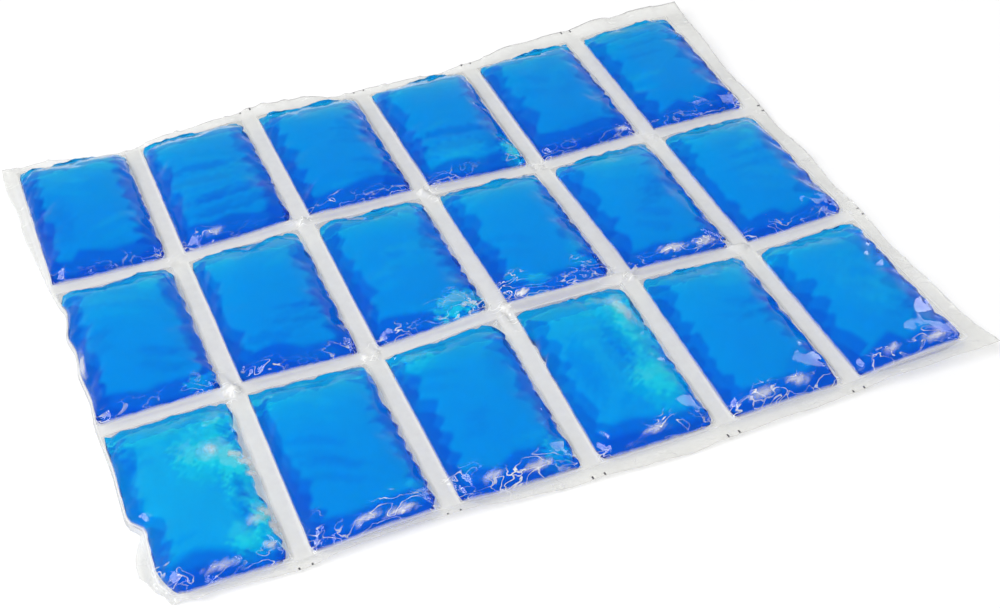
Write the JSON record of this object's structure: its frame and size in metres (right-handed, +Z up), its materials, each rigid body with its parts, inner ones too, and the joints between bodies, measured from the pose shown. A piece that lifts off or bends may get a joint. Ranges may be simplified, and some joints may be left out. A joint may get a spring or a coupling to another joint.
{
  "type": "reusable ice pack",
  "caption": "Flexible cold pack: a mat of blue gel pouches welded between two webs of clear film.",
  "frame": {"origin": "on the surface that the mat lies on, under the centre of the mat", "axes": "+X across the columns of pouches, +Y along the pouches, away from the viewer, +Z up"},
  "size_m": [0.3728, 0.296, 0.011],
  "materials": {
    "film": "glossy clear film",
    "gel": "clear blue gel"
  },
  "bodies": {
    "root": {"upper_film": "film", "lower_film": "film", "gel_r1_c1": "gel", "gel_r1_c2": "gel", "gel_r1_c3": "gel", "gel_r1_c4": "gel", "gel_r1_c5": "gel", "gel_r1_c6": "gel", "gel_r2_c1": "gel", "gel_r2_c2": "gel", "gel_r2_c3": "gel", "gel_r2_c4": "gel", "gel_r2_c5": "gel", "gel_r2_c6": "gel", "gel_r3_c1": "gel", "gel_r3_c2": "gel", "gel_r3_c3": "gel", "gel_r3_c4": "gel", "gel_r3_c5": "gel", "gel_r3_c6": "gel"}
  },
  "joints": []
}
